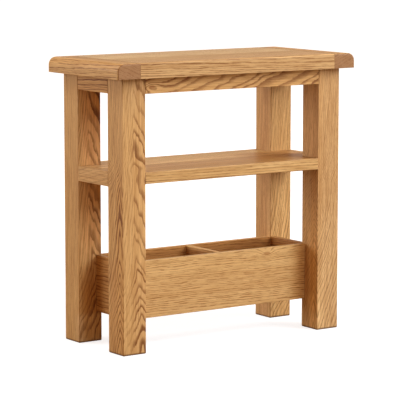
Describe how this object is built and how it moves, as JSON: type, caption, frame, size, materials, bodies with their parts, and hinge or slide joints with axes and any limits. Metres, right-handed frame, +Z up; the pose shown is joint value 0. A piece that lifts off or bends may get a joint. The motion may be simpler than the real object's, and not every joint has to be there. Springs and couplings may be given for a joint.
{
  "type": "magazine side table",
  "caption": "Small wooden side table on square legs, with a breadboard-ended rounded top, a mid shelf and a low open magazine rack split by a divider.",
  "frame": {"origin": "on the floor, in the middle of the table", "axes": "+X left to right along the front, +Y from the front to the back, +Z up"},
  "size_m": [0.55, 0.247, 0.547],
  "materials": {
    "oak_top": "satin lacquered oak",
    "oak_cleat": "satin lacquered oak",
    "oak_leg": "satin lacquered oak",
    "oak_apron": "satin lacquered oak",
    "oak_shelf": "satin lacquered oak",
    "oak_rack": "satin lacquered oak",
    "ply_base": "oak-faced plywood, thin lacquer",
    "batten_wood": "planed hardwood, unfinished",
    "dowel_wood": "beech, unfinished",
    "screw_steel": "zinc-plated"
  },
  "bodies": {
    "root": {"top_stave_1": "oak_top", "top_stave_2": "oak_top", "top_stave_3": "oak_top", "top_stave_4": "oak_top", "top_cleat_left": "oak_cleat", "top_cleat_right": "oak_cleat", "leg_front_left": "oak_leg", "leg_front_right": "oak_leg", "leg_back_left": "oak_leg", "leg_back_right": "oak_leg", "apron_front": "oak_apron", "apron_back": "oak_apron", "apron_left": "oak_apron", "apron_right": "oak_apron", "shelf_stave_front": "oak_shelf", "shelf_stave_mid_front": "oak_shelf", "shelf_stave_mid_back": "oak_shelf", "shelf_stave_back": "oak_shelf", "shelf_rail_left": "oak_shelf", "shelf_rail_right": "oak_shelf", "rack_front": "oak_rack", "rack_back": "oak_rack", "rack_end_left": "oak_rack", "rack_end_right": "oak_rack", "rack_divider": "oak_rack", "rack_base": "ply_base", "top_batten_front": "batten_wood", "top_batten_back": "batten_wood", "shelf_dowels": "dowel_wood", "rack_dowels": "dowel_wood", "top_screws": "screw_steel", "apron_screws": "screw_steel"}
  },
  "joints": []
}
